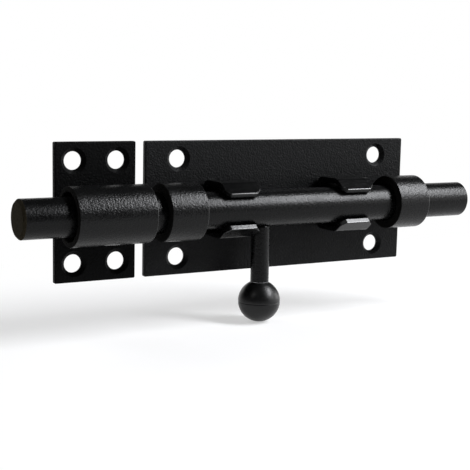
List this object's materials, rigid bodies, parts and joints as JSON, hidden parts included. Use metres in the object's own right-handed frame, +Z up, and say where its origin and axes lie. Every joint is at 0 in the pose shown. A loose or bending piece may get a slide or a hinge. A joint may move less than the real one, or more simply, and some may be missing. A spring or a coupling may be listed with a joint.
{
  "type": "barrel bolt",
  "caption": "Round sliding door bolt on a screw-on plate, with guide sleeves, bent clasps that catch its ball handle, and a keeper plate with a wider tube.",
  "frame": {"origin": "the middle of the base plate's back face, on the door", "axes": "+X along the rod away from the keeper, +Y into the door, +Z up"},
  "size_m": [0.1929, 0.0231, 0.0685],
  "materials": {
    "plate_coat": "fine-grained matt black powder coat on steel sheet",
    "tube_coat": "sandy matt black powder coat on steel tube",
    "rod_coat": "satin black coat on steel bar",
    "knob_coat": "semi-gloss black coat on a steel ball"
  },
  "bodies": {
    "mounting": {"base_plate": "plate_coat", "keeper_plate": "plate_coat", "left_sleeve": "tube_coat", "left_sleeve_upper_weld": "tube_coat", "left_sleeve_lower_weld": "tube_coat", "right_sleeve": "tube_coat", "right_sleeve_upper_weld": "tube_coat", "right_sleeve_lower_weld": "tube_coat", "keeper_tube": "tube_coat", "keeper_tube_upper_weld": "tube_coat", "keeper_tube_lower_weld": "tube_coat", "left_clasp": "plate_coat", "right_clasp": "plate_coat"},
    "rod": {"bolt_rod": "rod_coat"},
    "handle": {"handle_stem": "rod_coat", "ball_knob": "knob_coat"}
  },
  "joints": [
    {"name": "rod_slide", "type": "slide", "parent": "mounting", "child": "rod", "axis": [1, 0, 0], "range_m": [0, 0.0289]},
    {"name": "handle_turn", "type": "hinge", "parent": "rod", "child": "handle", "pos_m": [-0.0157, -0.01255, 0], "axis": [-1, 0, 0], "range_deg": [-5, 185]}
  ]
}
